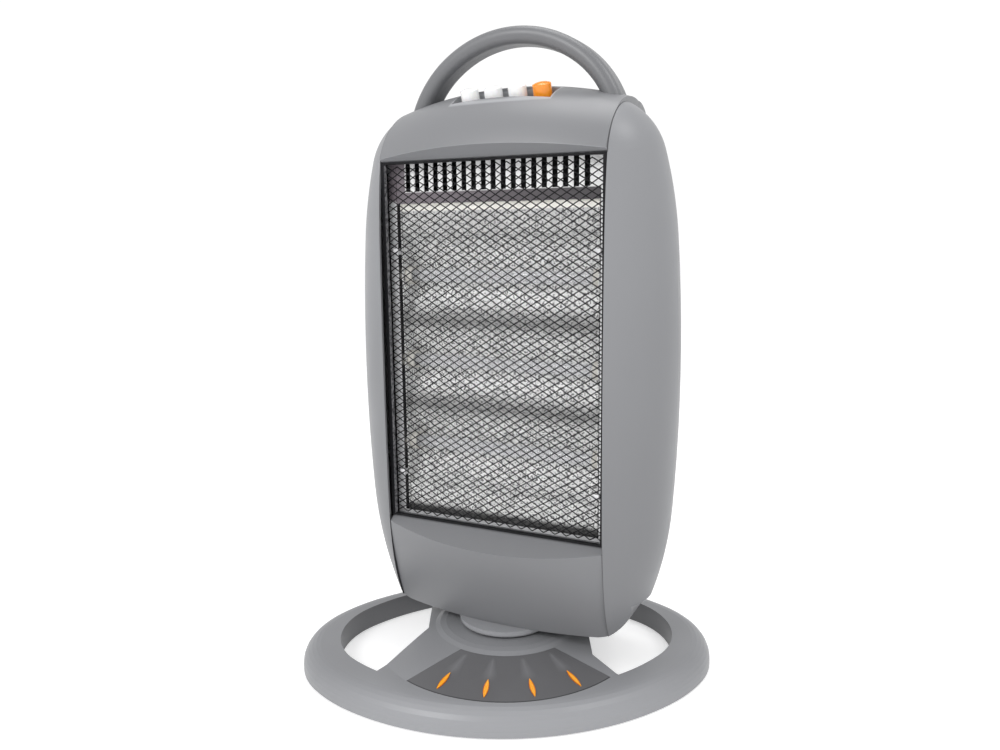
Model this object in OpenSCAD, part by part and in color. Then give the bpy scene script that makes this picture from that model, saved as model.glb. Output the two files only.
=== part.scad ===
// Oscillating halogen heater, in millimetres.
// An oval ring base carries a hub. On the hub a tall head swivels, with three quartz lamps before a
// troughed reflector, a diamond mesh guard, four push buttons and a carrying handle.
// Z is up and the base faces -Y. The origin is on the floor, on the swivel axis.

/* [Base] */
// Width of the oval base
base_w = 376; // [350:1:400]
// Depth of the oval base
base_d = 272; // [256:1:290]
// Radius of the left and right ends of the base
base_end_r = 96; // [92:1:100]
// Height of the ring's flat top
ring_top = 22; // [20:0.5:25]
// Width of the rounded outer shoulder
shoulder_w = 16; // [12:1:20]
// Height of the upright rim below the shoulder
rim_h = 6; // [4:0.5:8]
// Width of the inner oval that bounds the two openings
inner_w = 310; // [296:1:316]
// Depth of the inner oval
inner_d = 222; // [210:1:226]
// How far the inner oval lies behind the middle
inner_back = 7; // [4:0.5:9]
// Radius of the ends of the inner oval
inner_end_r = 78; // [72:1:84]
// Wall of the base moulding
base_wall = 2.6; // [2:0.1:3.2]
// Height of the rubber feet
foot_h = 2; // [1.5:0.1:3]
// Thickness of the bottom plate
plate_t = 2; // [1.6:0.1:2.4]
// Height of the hub's top face
hub_top = 37; // [35:0.5:40]
// Radius of the hub's flat top
hub_r = 56; // [52:0.5:58]
// Half the width of the bridge beside the hub
bridge_half = 72; // [68:0.5:76]

/* [Inlay] */
// Inner radius of the fan-shaped inlay
inlay_in_r = 66.5; // [64:0.5:70]
// Outer radius of the fan-shaped inlay
inlay_out_r = 119; // [112:0.5:120]
// Distance of the point before the swivel axis from which the fan spreads
inlay_apex = 25; // [23:0.5:28]
// Angle of the fan's sides to the middle
inlay_half_a = 56; // [54:0.5:58]
// Thickness of the inlay
inlay_t = 1.2; // [1:0.1:1.4]
// Angle between two coloured marks
mark_step = 20.7; // [18:0.1:22]
// Length of a coloured mark
mark_len = 21; // [14:0.5:24]
// Width of a coloured mark
mark_w = 4.6; // [3:0.1:6]

/* [Swivel] */
// How far the head stands turned to its right, as shown
head_turn = 27; // [10:1:34]
// Radius of the visible collar below the head
collar_r = 43; // [38:0.5:46]
// Outer radius of the neck tube
neck_r = 19; // [17:0.5:21]
// Wall of the neck tube
neck_wall = 4; // [3:0.5:5]
// Running clearance of the neck in its bush
neck_fit = 0.08; // [0.05:0.01:0.1]
// Radius of the fixed post on the swivel axis
post_r = 6; // [5:0.5:7]
// Distance of the swing motor's shaft from the swivel axis
crank_off = 26; // [25:0.5:28]
// Radius of the crank pin's circle
crank_r = 14.5; // [14:0.1:15]
// Radius of the crank pin
pin_r = 2; // [1.5:0.1:2.2]
// Play of the crank pin in the lever's slot, each side
slot_play = 1.5; // [1.3:0.1:1.8]

/* [Head] */
// Height of the head's underside
head_bottom = 44; // [43:0.5:46]
// Half the distance between the two side panels
seam_x = 104.5; // [103.5:0.5:106]
// Radius of a side panel's round section
side_r = 60; // [57:0.5:62]
// Distance of a side panel's section centre from the middle
side_x = 90.5; // [89:0.5:92]
// Distance of the section centre behind the swivel axis
side_y = 24; // [23:0.5:27]
// Height at which the side panels bulge most
side_mid = 270; // [262:1:278]
// Height at which a side panel's round top starts
side_top = 443; // [438:1:447]
// Radius of the side panels' middle bow, seen from the front
bow_r = 1500; // [1300:50:1700]
// Radius of their tighter bow at the top
bow_top_r = 312.5; // [275:12.5:400]
// Radius of their tighter bow at the bottom
bow_low_r = 250; // [225:12.5:300]
// Rounding of the head's lower corners, seen from the front
corner_r = 30; // [24:1:34]
// Wall of the head's mouldings
wall = 2.4; // [2:0.1:3]
// Gap between neighbouring mouldings
seam_gap = 0.3; // [0.2:0.05:0.5]
// Radius of the crown of the front and rear covers
crown_r = 375; // [340:5:450]
// Radius of the domed top at the middle
dome_r = 84; // [80:0.5:87]
// Distance of the dome's axis behind the swivel axis
dome_y = 36; // [34:0.5:38]
// Height of the dome's axis
dome_z = 432; // [428:1:436]
// How far the rear cover reaches behind the swivel axis
rear_y = 97; // [94:0.5:100]
// Rounding of the rear cover's upper edge
rear_round = 45; // [42:1:46]
// Radius to which the lower front cover is curved, seen from the side
chin_r = 330; // [310:10:450]

/* [Window] */
// Height of the window's lower edge
win_low = 132; // [128:1:140]
// Height of the window's upper edge
win_high = 453; // [448:1:456]
// Distance of the mesh before the swivel axis
mesh_y = 25; // [23:0.5:27]
// Wire width of the mesh
wire = 1.2; // [1:0.1:1.6]
// Diamonds across the mesh
mesh_cols = 9; // [7:1:10]
// Diamonds up the mesh
mesh_rows = 15; // [12:1:16]
// Width of the guard frame's left and right bars
frame_w = 3.2; // [2.5:0.1:4]
// Width of the guard frame's upper and lower bars
frame_edge = 1.6; // [1.5:0.1:3]

/* [Heating] */
// Number of lamps
lamps = 3; // [2:1:3]
// Height of the lowest trough's lower edge
trough_low = 161; // [156:1:166]
// Height of one trough
trough_h = 77.3; // [74:0.1:78]
// Depth of a trough
trough_d = 20; // [14:0.5:22]
// Outer radius of a lamp's quartz tube
lamp_r = 6; // [5:0.1:6.5]
// Wall of the quartz tube
lamp_wall = 1; // [0.8:0.1:1.2]
// Half the length of the quartz tube
lamp_half = 96; // [94:0.5:97]
// Sheet metal thickness
sheet = 1; // [0.8:0.1:1.2]
// Half the width of the inner case
case_half = 99; // [97:0.5:99.5]
// Distance of the case's back wall behind the swivel axis
case_back = 44; // [40:0.5:48]
// Number of slots in the vent plate
vent_slots = 19; // [15:1:20]
// Width of a slot in the vent plate
vent_slot_w = 4.8; // [3.5:0.1:5.5]

/* [Handle] */
// Radius of the handle's flat upper arc, to its outside
grip_top_r = 112; // [110:1:114]
// Radius of the handle's shoulder arcs, to their outside
grip_side_r = 96; // [94:1:97]
// Height of the handle's top
grip_top = 565; // [555:1:575]
// Thickness of the handle, seen from the front
grip_t = 15; // [14:0.5:17]
// Depth of the handle from front to back
grip_d = 28; // [25:0.5:30]
// Distance of the handle's middle behind the swivel axis
grip_y = 30; // [28:0.5:31]

/* [Buttons] */
// Distance between two buttons
button_step = 22.5; // [21:0.5:23.5]
// Width of a button
button_w = 16; // [15:0.5:18.5]
// Distance of the row's middle to the right of the head's middle
row_x = 3; // [0:0.5:5]
// Depth of a button from front to back
button_d = 13.5; // [12:0.5:14.5]
// Travel of a button
button_travel = 4; // [3:0.5:4.5]
// Forward tilt of the buttons
button_tilt = 20; // [18:0.5:22]
// Depth of the tray that the buttons stand in
tray_deep = 9; // [8:0.5:10]
// How far the buttons stand above the top
button_rise = 5; // [4.5:0.5:7]

/* [Hidden] */
$fn = 96;

body_grey = [0.57, 0.575, 0.585];
inlay_grey = [0.38, 0.38, 0.385];
collar_grey = [0.68, 0.685, 0.69];
big = 700;
eps = 0.5;
touch = 0.05;
floor_t = 3;
floor_top = head_bottom + floor_t;
flange_y = -17;
case_low = win_low + seam_gap;
case_top = win_high + 8;

// ---------- plain helpers ----------

// Four-arc oval with half axes a and b and end radius r
function oval_far(a, b, r) = ((a - r) * (a - r) - (b - r) * (b - r)) / (2 * (b - r));

module oval(a, b, r) {
  far = oval_far(a, b, r);
  turn_x = (b + far) * (a - r) / (b + far - r);
  intersection() {
    translate([0, -far]) circle(b + far, $fn = 180);
    translate([0, far]) circle(b + far, $fn = 180);
    square([2 * turn_x, 2 * b + 2], center = true);
  }
  for (s = [-1, 1]) translate([s * (a - r), 0]) circle(r);
}

// Wedge between two directions from a point, each direction as a unit vector
module wedge(at, d1, d2, h) {
  translate([at[0], at[1], -h]) linear_extrude(2 * h)
    polygon([[0, 0], 4000 * d1, 4000 * (d1 + d2), 4000 * d2]);
}

// Ring of revolution about a point, kept between two directions
module arc_piece(at, r, d1, d2) {
  intersection() {
    translate(at) rotate_extrude($fn = 180) translate([r, 0]) children();
    wedge(at, d1, d2, big);
  }
}

// Sweeps a section round a smooth oval with half axes a and b and end radius r.
// In the section x = 0 is the oval's edge and -x goes inwards.
module oval_sweep(a, b, r) {
  side = r + 2.5 * (a - b);
  mid = 5 * a - r - 3 * side;
  c_mid = [a - r, 0] - (mid - r) * [0.8, 0.6];
  c_side = c_mid - (side - mid) * [0.6, 0.8];
  for (m = [0, 1]) mirror([m, 0, 0]) {
    arc_piece([a - r, 0, 0], r, [0.8, -0.6], [0.8, 0.6]) children();
    for (n = [0, 1]) mirror([0, n, 0])
      arc_piece([c_mid[0], c_mid[1], 0], mid, [0.8, 0.6], [0.6, 0.8]) children();
  }
  for (n = [0, 1]) mirror([0, n, 0])
    arc_piece([0, c_side[1], 0], side, [0.6, 0.8], [-0.6, 0.8]) children();
}

module tube(r_out, r_in, h) {
  difference() {
    cylinder(r = r_out, h = h);
    translate([0, 0, -eps]) cylinder(r = r_in, h = h + 2 * eps);
  }
}

// Box by its corners
module box(lo, hi) {
  translate(lo) cube(hi - lo);
}

// Screws and their holes: heads, shank, tapped hole and free hole
head_r = 3;
head_h = 1.6;
low_head_h = 1.4;
shank_r = 1.6;
tap_r = 1.65;
free_r = 1.8;
tap_deep = 10;

// Screw with its head on the XY plane below z = 0 and its shank up along +Z
module screw(head_r, head_h, shank_r, shank_l) {
  translate([0, 0, -head_h]) difference() {
    cylinder(r = head_r, h = head_h);
    translate([-head_r / 2, -0.4, -eps]) cube([head_r, 0.8, 0.4 * head_h + eps]);
    translate([-0.4, -head_r / 2, -eps]) cube([0.8, head_r, 0.4 * head_h + eps]);
  }
  translate([0, 0, -head_h / 3]) cylinder(r = shank_r, h = shank_l + head_h / 3);
}

// Pose of everything on the swivelling head
module on_head() {
  rotate([0, 0, -head_turn]) children();
}

// ---------- base ----------

base_a = base_w / 2;
base_b = base_d / 2;
inner_a = inner_w / 2;
inner_b = inner_d / 2;
skirt_low = 1.2;
band_w = 46;
plate_z = foot_h;
plate_top = plate_z + plate_t;
slope_r = inlay_in_r - 0.5;
slope_z = hub_top - 3;
bridge_l = [-bridge_half, -8, -114, -67];
bridge_r = [bridge_half + 2, -55, 95, -81];

// Rounded shoulder, from the upright rim to the flat top, t inside the outer face
function shoulder(t) = [for (k = [0:6])
  [-t - (shoulder_w - t) * (1 - cos(15 * k)), rim_h + (ring_top - t - rim_h) * sin(15 * k)]];

module ring_section(t, low) {
  polygon(concat([[-band_w, low], [-t, low]], shoulder(t), [[-band_w, ring_top - t]]));
}

// Hub and sloping bridge, as a section from the axis outwards
module hub_section(t, low) {
  polygon([[0, low], [inlay_out_r + 0.5, low], [inlay_out_r + 0.5, ring_top - t],
    [slope_r, slope_z - t], [hub_r + 5.5, hub_top - 1 - t], [hub_r, hub_top - t], [0, hub_top - t]]);
}

// Half plane beside the bridge on one side, t further from the bridge
module beside_bridge(side, corner, t) {
  x0 = abs(corner[0]);
  x1 = abs(corner[2]);
  run = [x1 - x0, corner[3] - corner[1]];
  tilt = atan2(-run[1], run[0]);
  mirror([side < 0 ? 1 : 0, 0]) intersection() {
    translate([x0 + t, -big]) square(2 * big);
    translate([x0, corner[1]]) rotate(-tilt) translate([-big, t]) square(2 * big);
  }
}

// Plan of the two openings, t smaller all round
module openings(t) {
  difference() {
    translate([0, inner_back]) oval(inner_a - t, inner_b - t, inner_end_r - t);
    difference() {
      square(2 * big, center = true);
      beside_bridge(-1, bridge_l, t);
      beside_bridge(1, bridge_r, t);
    }
  }
}

// Solid of the base, t inside its faces
module base_form(t, low) {
  difference() {
    union() {
      oval_sweep(base_a, base_b, base_end_r) ring_section(t, low);
      rotate_extrude($fn = 180) hub_section(t, low);
    }
    translate([0, 0, low - eps]) linear_extrude(hub_top + 2) openings(-t);
  }
}

// Middle of the ring's band at its left and right ends
band_mid = (base_a + inner_a) / 2;
boss_in = 3.5;
boss_spots = [[boss_in - band_mid, 4], [band_mid - boss_in, 4], [-58, -60], [58, -60], [-58, 70], [58, 70]];
boss_r = 4;
bush_r = neck_r + 3.6;
ring_z = plate_top + 8;
bush_low = ring_z + 3.1;
inlay_play = 0.25;

// Sector below which the inlay lies, grown by t
module fan(t) {
  intersection() {
    difference() {
      circle(inlay_out_r + t, $fn = 180);
      circle(inlay_in_r - t, $fn = 180);
    }
    translate([0, t / sin(inlay_half_a) - inlay_apex]) polygon([[0, 0],
      [-big * sin(inlay_half_a), -big * cos(inlay_half_a)], [0, -big],
      [big * sin(inlay_half_a), -big * cos(inlay_half_a)]]);
  }
}

module base_shell() {
  color(body_grey) difference() {
    union() {
      difference() {
        base_form(0, skirt_low);
        base_form(base_wall, skirt_low - eps);
      }
      intersection() {
        base_form(base_wall / 2, skirt_low);
        union() {
          for (p = boss_spots) translate([p[0], p[1], plate_top]) cylinder(r = boss_r, h = hub_top);
          translate([0, 0, bush_low]) cylinder(r = bush_r + 3, h = hub_top);
        }
      }
    }
    for (p = boss_spots) translate([p[0], p[1], plate_top - eps]) cylinder(r = tap_r, h = tap_deep - 1 + eps);
    translate([0, 0, bush_low - eps]) cylinder(r = bush_r, h = hub_top);
    difference() {
      linear_extrude(hub_top) fan(inlay_play);
      rotate_extrude($fn = 180) hub_section(inlay_t, -1);
    }
  }
}

module base_plate() {
  color([0.2, 0.2, 0.21]) difference() {
    translate([0, 0, plate_z]) linear_extrude(plate_t) difference() {
      oval(base_a - base_wall - seam_gap, base_b - base_wall - seam_gap,
        base_end_r - base_wall - seam_gap);
      openings(-base_wall - seam_gap);
    }
    for (p = boss_spots) translate([p[0], p[1], 0]) cylinder(r = free_r, h = plate_top + eps);
    for (a = [0:120:240]) rotate([0, 0, a]) translate([post_screw_r, 0, 0])
      cylinder(r = 1.3, h = plate_top + eps);
    translate([tip_x, tip_y, 0]) cylinder(r = tip_r + 0.3, h = plate_top + eps);
  }
}

module base_inlay() {
  color(inlay_grey) intersection() {
    linear_extrude(hub_top) fan(0);
    difference() {
      rotate_extrude($fn = 180) hub_section(0, 0);
      rotate_extrude($fn = 180) hub_section(inlay_t, -1);
    }
  }
}

// Slope of the bridge's top face
slope_a = atan2(slope_z - ring_top, inlay_out_r + 1 - slope_r);
mark_mid_r = 105;
mark_rise = 0.6;

module ray_marks() {
  round_r = (mark_len * mark_len + mark_w * mark_w) / (4 * mark_w);
  mark_z = slope_z - (mark_mid_r - slope_r) * tan(slope_a);
  color([0.95, 0.56, 0.1]) for (k = [-1.5:1:1.5])
    rotate([0, 0, k * mark_step]) translate([0, -mark_mid_r, mark_z]) rotate([slope_a, 0, 0])
      linear_extrude(mark_rise) intersection() {
        translate([round_r - mark_w / 2, 0]) circle(round_r);
        translate([mark_w / 2 - round_r, 0]) circle(round_r);
      }
}

// Feet at the front, at the back and on the band's front and rear corners
foot_front = [52, 24 - base_b];
foot_rear = [60, base_b - 30];
foot_low = [band_mid - 9.5, -34];
foot_high = [band_mid - 6.5, 36];
foot_r = 6;

module rubber_feet() {
  color([0.1, 0.1, 0.1]) for (s = [-1, 1], p = [foot_front, foot_rear, foot_low, foot_high])
    translate([s * p[0], p[1], 0]) cylinder(r = foot_r, h = foot_h);
}

post_screw_r = 9.6;
post_foot_t = 3;

module post_screws() {
  color([0.7, 0.7, 0.72]) for (a = [0:120:240]) rotate([0, 0, a]) translate([post_screw_r, 0, plate_z])
    screw(2.2, 1, 1.1, plate_t + post_foot_t - 0.4);
}

module base_screws() {
  color([0.7, 0.7, 0.72]) for (p = boss_spots)
    translate([p[0], p[1], plate_z]) screw(head_r + 0.2, 1.2, shank_r, tap_deep);
}

// ---------- tip-over switch ----------

tip_x = 0;
tip_y = 84;
tip_r = 4;
tip_travel = 6;
tip_top = plate_top + 7.5;

module tip_switch() {
  color([0.12, 0.12, 0.13]) difference() {
    box([tip_x - 15, tip_y - 9, plate_top], [tip_x + 15, tip_y + 9, plate_top + 15]);
    translate([tip_x, tip_y, plate_top - eps]) cylinder(r = tip_r + 0.3, h = tip_top - plate_top + 1);
  }
}

module tip_plunger() {
  color([0.85, 0.85, 0.82]) translate([tip_x, tip_y, 0]) {
    cylinder(r = tip_r, h = tip_top);
  }
}

// ---------- swivel ----------

collar_low = hub_top + 1;
neck_in_r = neck_r - neck_wall;
ring_screw_r = neck_r - neck_wall / 2;

module hub_bush() {
  color([0.9, 0.9, 0.88]) difference() {
    union() {
      translate([0, 0, bush_low]) cylinder(r = bush_r - touch, h = hub_top - bush_low);
      translate([0, 0, hub_top]) cylinder(r = bush_r + 6, h = 0.8);
    }
    translate([0, 0, bush_low - eps]) cylinder(r = neck_r + neck_fit, h = hub_top);
  }
}

module swivel_collar() {
  color(collar_grey) on_head() difference() {
    union() {
      rotate_extrude($fn = 180) {
        translate([0, collar_low]) square([collar_r - 3, head_bottom - collar_low]);
        translate([collar_r - 3, collar_low + 3]) circle(3);
        translate([0, collar_low + 3]) square([collar_r, head_bottom - collar_low - 3]);
      }
      translate([0, 0, ring_z + 3]) cylinder(r = neck_r, h = collar_low - ring_z);
    }
    cylinder(r = neck_in_r, h = head_bottom + eps);
    for (a = [30:120:270]) rotate([0, 0, a]) translate([ring_screw_r, 0, 0])
      cylinder(r = 1.05, h = ring_z + 11);
    for (a = collar_screw_a) rotate([0, 0, a]) translate([collar_screw_r, 0, collar_low - eps])
      cylinder(r = tap_r, h = 20);
  }
}

collar_screw_r = 33;
collar_screw_a = [0, 60, 120, 180];

module retaining_ring() {
  color([0.72, 0.72, 0.7]) on_head() translate([0, 0, ring_z]) difference() {
    tube(bush_r + 2, neck_in_r, 3);
    for (a = [30:120:270]) rotate([0, 0, a]) translate([ring_screw_r, 0, -eps]) cylinder(r = 1.2, h = 5);
  }
}

module ring_screws() {
  color([0.7, 0.7, 0.72]) on_head() for (a = [30:120:270])
    rotate([0, 0, a]) translate([ring_screw_r, 0, ring_z]) screw(1.9, 1.2, 1, 9);
}

module collar_screws() {
  color([0.7, 0.7, 0.72]) on_head() for (a = collar_screw_a) rotate([0, 0, a])
    translate([collar_screw_r, 0, floor_top]) mirror([0, 0, 1])
      screw(head_r, head_h, shank_r, floor_top - collar_low - 1);
}

// The post's own frame is the base's, so the head swings round it
lever_gap = 3;
lever_z = floor_top + lever_gap;
lever_t = 3;

module swing_post() {
  color([0.75, 0.75, 0.76]) difference() {
    union() {
      translate([0, 0, plate_top]) cylinder(r = post_screw_r + head_r + 0.4, h = post_foot_t);
      translate([0, 0, plate_top]) cylinder(r = post_r, h = lever_z - plate_top);
    }
    translate([0, 0, lever_z - tap_deep]) cylinder(r = tap_r, h = tap_deep + 1);
    for (a = [0:120:240]) rotate([0, 0, a]) translate([post_screw_r, 0, plate_top - eps])
      cylinder(r = 1.15, h = post_foot_t + 2);
  }
}

lever_near = crank_off - crank_r;
lever_far = crank_off + crank_r;
slot_half = pin_r + slot_play;

module swing_lever() {
  color([0.78, 0.78, 0.8]) translate([0, 0, lever_z]) difference() {
    linear_extrude(lever_t) {
      circle(post_r + 1);
      translate([-slot_half - 3.5, 0]) square([2 * slot_half + 7, lever_far]);
      translate([0, lever_far]) circle(slot_half + 3.5);
    }
    translate([0, 0, -eps]) linear_extrude(lever_t + 2 * eps) {
      circle(free_r);
      translate([-slot_half, lever_near]) square([2 * slot_half, lever_far - lever_near]);
      for (y = [lever_near, lever_far]) translate([0, y]) circle(slot_half);
    }
  }
}

module lever_screw() {
  color([0.7, 0.7, 0.72]) translate([0, 0, lever_z + lever_t]) mirror([0, 0, 1])
    screw(head_r + 0.2, head_h, shank_r, tap_deep + 2);
}

// Crank angle at which the pin lies in the lever's slot
crank_a = head_turn + asin(crank_off * sin(head_turn) / crank_r);
pin_gap = 2.2;
crank_gap = 2;
crank_z = lever_z + lever_t + pin_gap;
crank_t = 3;
shaft_r = 3;
bracket_z = crank_z + crank_t + crank_gap;
motor_z = bracket_z + sheet * 1.5;

module crank() {
  color([0.93, 0.92, 0.88]) on_head() translate([0, crank_off, 0]) rotate([0, 0, crank_a]) difference() {
    union() {
      translate([0, 0, crank_z]) linear_extrude(crank_t) {
        circle(6);
        translate([-4, 0]) square([8, crank_r]);
        translate([0, crank_r]) circle(4);
      }
      translate([0, crank_r, lever_z - 0.8]) cylinder(r = pin_r, h = crank_z - lever_z + 1);
    }
    translate([0, 0, crank_z - eps]) cylinder(r = shaft_r + 0.05, h = crank_t + 2 * eps);
  }
}

motor_r = 24.5;
motor_h = 18;
motor_ear = 29;

module swing_motor() {
  color([0.8, 0.81, 0.82]) on_head() translate([0, crank_off, 0]) {
    translate([0, 0, motor_z]) cylinder(r = motor_r, h = motor_h);
    translate([0, 0, crank_z]) cylinder(r = shaft_r, h = motor_z - crank_z + 1);
    translate([0, 0, motor_z]) difference() {
      linear_extrude(1.5) {
        translate([-motor_ear, -4]) square([2 * motor_ear, 8]);
        for (s = [-1, 1]) translate([s * motor_ear, 0]) circle(4);
      }
      for (s = [-1, 1]) translate([s * motor_ear, 0, -eps]) cylinder(r = free_r, h = 3);
    }
    translate([-9, motor_r - 4, motor_z + 3]) cube([18, 10, 12]);
  }
}

bracket_half = 48;
bracket_d = 22;
bracket_foot = 12;
bracket_hole_y = 14;

module motor_bracket() {
  t = 1.5 * sheet;
  color([0.74, 0.75, 0.76]) on_head() translate([0, crank_off, 0]) difference() {
    union() {
      box([-bracket_half, -bracket_d, bracket_z], [bracket_half, bracket_d, bracket_z + t]);
      for (s = [0, 1]) mirror([s, 0, 0]) {
        box([bracket_half - t, -bracket_d, floor_top], [bracket_half, bracket_d, bracket_z + t]);
        box([bracket_half - t, -bracket_d, floor_top], [bracket_half + bracket_foot, bracket_d, floor_top + t]);
      }
    }
    translate([0, 0, bracket_z - eps]) cylinder(r = shaft_r + 4, h = 5);
    for (s = [-1, 1]) {
      translate([s * motor_ear, 0, bracket_z - eps]) cylinder(r = tap_r, h = 5);
      for (y = [-bracket_hole_y, bracket_hole_y])
        translate([s * (bracket_half + bracket_foot / 2), y, floor_top - eps]) cylinder(r = tap_r, h = 5);
    }
  }
}

module motor_screws() {
  t = 1.5 * sheet;
  color([0.7, 0.7, 0.72]) on_head() translate([0, crank_off, 0]) for (s = [-1, 1]) {
    translate([s * motor_ear, 0, motor_z + t]) mirror([0, 0, 1])
      screw(head_r, low_head_h, shank_r, 2 * t + 1.5);
    for (y = [-bracket_hole_y, bracket_hole_y])
      translate([s * (bracket_half + bracket_foot / 2), y, floor_top + t]) mirror([0, 0, 1])
        screw(head_r, low_head_h, shank_r, t + floor_t - 0.4);
  }
}

// ---------- forms of the head ----------

// Direction in which the middle bow passes into the end bows, as sine and cosine
bow_s = 0.07584;
bow_c = 0.99712;
bow_x = side_x - bow_r;
top_bow = [bow_x + (bow_r - bow_top_r) * bow_c, side_mid + (bow_r - bow_top_r) * bow_s];
low_bow = [bow_x + (bow_r - bow_low_r) * bow_c, side_mid - (bow_r - bow_low_r) * bow_s];
tip_cx = top_bow[0] + sqrt(bow_top_r * bow_top_r - (side_top - top_bow[1]) * (side_top - top_bow[1]));
tip_d = [tip_cx - top_bow[0], side_top - top_bow[1]] / bow_top_r;
cover_half = seam_x - seam_gap;
split_y = rear_y - rear_round;
front_y = dome_r - dome_y;
drum_edge = crown_r - sqrt(crown_r * crown_r - seam_x * seam_x);
chin_z = 160;
rear_top = dome_z + sqrt(dome_r * dome_r - (split_y - dome_y) * (split_y - dome_y));

// Right side panel's solid, t inside its faces: a tube bowed in three arcs with a ball at its top
module side_form(t) {
  intersection() {
    union() {
      translate([0, side_y, 0]) rotate([90, 0, 0]) {
        arc_piece([bow_x, side_mid, 0], bow_r, [bow_c, -bow_s], [bow_c, bow_s]) circle(side_r - t);
        arc_piece([top_bow[0], top_bow[1], 0], bow_top_r, [bow_c, bow_s], tip_d) circle(side_r - t);
        arc_piece([low_bow[0], low_bow[1], 0], bow_low_r, [0.6, -0.8], [bow_c, -bow_s]) circle(side_r - t);
      }
      translate([tip_cx, side_y, side_top]) sphere(side_r - t);
    }
    foot_form(t);
  }
}

// Everything above the head's underside, whose lower corners are rounded as seen from the front
module foot_form(t) {
  x = low_bow[0] + bow_low_r * 0.9 + side_r - corner_r;
  z = head_bottom + corner_r;
  translate([0, big / 2, 0]) rotate([90, 0, 0]) linear_extrude(big) {
    translate([-big, z]) square([2 * big, big]);
    translate([-x, head_bottom + t]) square([2 * x, corner_r]);
    for (s = [-1, 1]) translate([s * x, z]) circle(corner_r - t);
  }
}

// Plan or side section of a crowned surface whose middle lies at radius r
module crown_section(r, half, t) {
  intersection() {
    translate([r - crown_r, 0]) circle(crown_r - t, $fn = 360);
    translate([0, -half + t]) square([r, 2 * (half - t)]);
  }
}

// Crowned drum about an axis along X through (y, z)
module drum(y, z, r, from, sweep, t) {
  translate([0, y, z]) rotate([0, 90, 0]) rotate([0, 0, from])
    rotate_extrude(angle = sweep, $fn = 180) crown_section(r, cover_half, t);
}

// Wedge that bounds the top cover below: the window's upper edge slopes out and up
lip_rise = 0.57;
module above_window(t, back, drop) {
  rotate([90, 0, 90]) translate([0, 0, -big / 2]) linear_extrude(big) polygon([
    [-mesh_y - 60, win_high + t + 60 * lip_rise], [-mesh_y, win_high + t], [back, win_high + t],
    [back, win_high - drop], [big, win_high - drop], [big, big], [-mesh_y - 60, big]]);
}

// Wedge that bounds the lower cover above: the window's lower edge slopes out and down
chin_drop = 0.75;
module below_window(t) {
  rotate([90, 0, 90]) translate([0, 0, -big / 2]) linear_extrude(big) polygon([
    [-mesh_y - 60, win_low - t - 60 * chin_drop], [-mesh_y, win_low - t], [big, win_low - t], [big, 0],
    [-mesh_y - 60, 0]]);
}

lip_back = flange_y - touch;
skirt_drop = 12;
module top_form(t) {
  intersection() {
    drum(dome_y, dome_z, dome_r, 0, 360, t);
    above_window(t, lip_back, skirt_drop);
    box([-big, -big, 0], [big, split_y, big]);
  }
}

chin_back = -5;
module lower_form(t, back) {
  intersection() {
    drum(chin_r - front_y, chin_z, chin_r, 240, 60, t);
    below_window(t);
    box([-big, -big, 0], [big, back, big]);
    foot_form(t);
    rotate([90, 0, 90]) translate([0, 0, -big / 2]) linear_extrude(big)
      polygon([[-front_y - 10, head_bottom + 40], [-front_y + 8 + t, head_bottom + 6 + t],
        [-front_y + 16 + t, head_bottom - eps + t], [big, head_bottom - eps + t], [big, big],
        [-front_y - 10, big]]);
  }
}

module rear_form(t) {
  intersection() {
    union() {
      translate([0, rear_y - crown_r, head_bottom + t]) cylinder(r = crown_r - t,
        h = rear_top - rear_round - head_bottom - t, $fn = 360);
      drum(split_y, rear_top - rear_round, rear_round, 90, 90, t);
    }
    box([-cover_half + t, split_y + seam_gap - (t > 0 ? eps : 0), 0], [cover_half - t, big, big]);
  }
}

// ---------- mouldings of the head ----------

floor_half = cover_half - wall - 0.2;
tab_x = 78;
tab_w = 16;
tab_spot = 5;

module head_floor() {
  color([0.45, 0.455, 0.46]) on_head() difference() {
    box([-floor_half, chin_back + seam_gap, head_bottom], [floor_half, split_y, floor_top]);
    translate([0, 0, head_bottom - eps]) cylinder(r = neck_in_r, h = floor_t + 2 * eps);
    for (a = collar_screw_a) rotate([0, 0, a]) translate([collar_screw_r, 0, head_bottom - eps])
      cylinder(r = free_r, h = 10);
    for (s = [-1, 1]) {
      translate([s * tab_x, tab_spot, head_bottom - eps]) cylinder(r = tap_r, h = 10);
      for (y = [-bracket_hole_y, bracket_hole_y])
        translate([s * (bracket_half + bracket_foot / 2), crank_off + y, head_bottom - eps])
          cylinder(r = tap_r, h = 10);
    }
  }
}

module lower_cover() {
  color(body_grey) on_head() {
    difference() {
      lower_form(0, chin_back);
      lower_form(wall, chin_back + eps);
      translate([0, 0, head_bottom - eps]) cylinder(r = neck_in_r, h = wall + 2 * eps);
    }
    for (s = [-1, 1]) difference() {
      box([s * tab_x - tab_w / 2, chin_back - wall - 6, floor_top + touch],
        [s * tab_x + tab_w / 2, tab_spot + 5, floor_top + wall]);
      translate([s * tab_x, tab_spot, floor_top - eps]) cylinder(r = free_r, h = 10);
    }
    for (s = [-1, 1]) box([s * tab_x - tab_w / 2, chin_back - wall - 6, head_bottom + wall / 2],
      [s * tab_x + tab_w / 2, chin_back - 6, floor_top + wall]);
  }
}

module lower_cover_screws() {
  color([0.7, 0.7, 0.72]) on_head() for (s = [-1, 1])
    translate([s * tab_x, tab_spot, floor_top + wall]) mirror([0, 0, 1])
      screw(head_r, head_h, shank_r, wall + floor_t - 0.5);
}

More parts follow.
